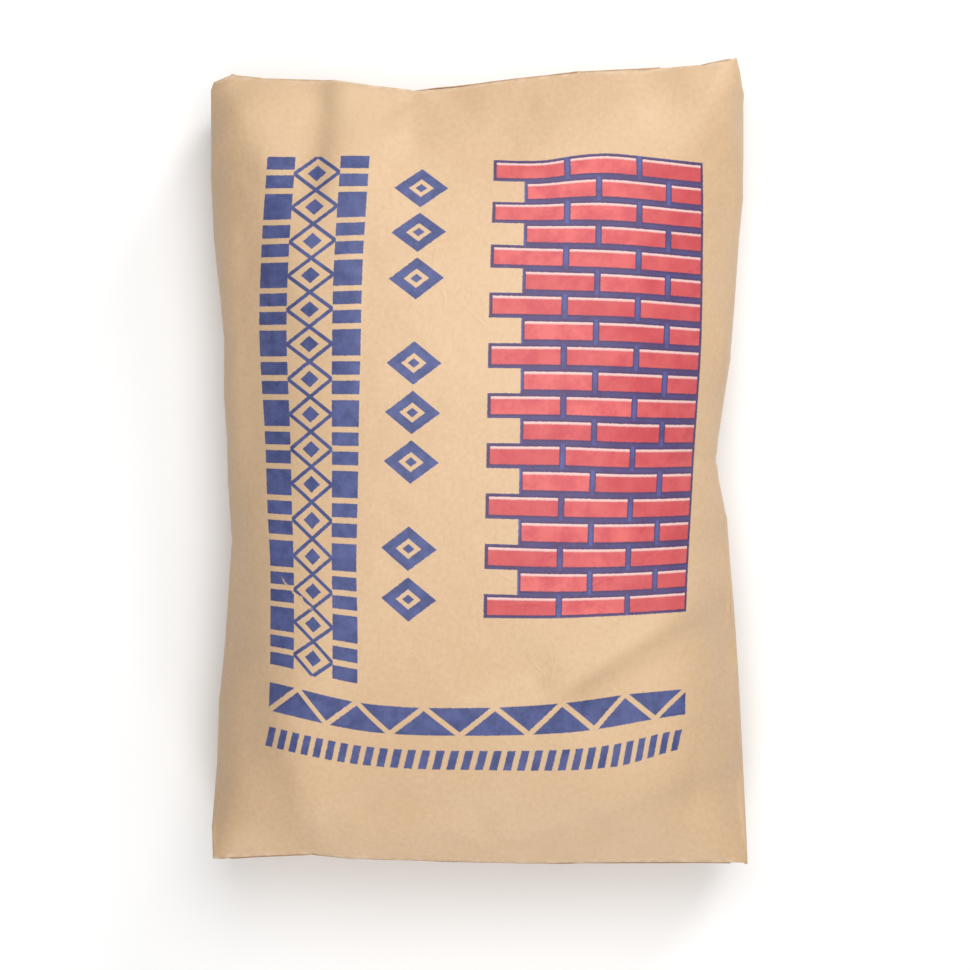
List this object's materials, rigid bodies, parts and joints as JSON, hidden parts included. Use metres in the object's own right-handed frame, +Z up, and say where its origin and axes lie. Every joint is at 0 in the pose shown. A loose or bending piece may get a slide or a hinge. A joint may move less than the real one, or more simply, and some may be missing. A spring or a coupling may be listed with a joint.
{
  "type": "cement bag",
  "caption": "Filled paper cement sack with pasted block ends and a corner filling valve, lying on its back, its face printed with a brick wall.",
  "frame": {"origin": "under the middle of the sack, on the floor it lies on", "axes": "+Y along the sack towards its valve end, +Z up out of the printed face, +X to the right of the printed face"},
  "size_m": [0.4219, 0.6281, 0.157],
  "materials": {
    "kraft": "matte",
    "patch_kraft": "matte",
    "valve_kraft": "matte"
  },
  "bodies": {
    "root": {"filled_sack": "kraft", "valve_end_patch": "patch_kraft", "plain_end_patch": "patch_kraft", "valve_sleeve": "valve_kraft"}
  },
  "joints": []
}
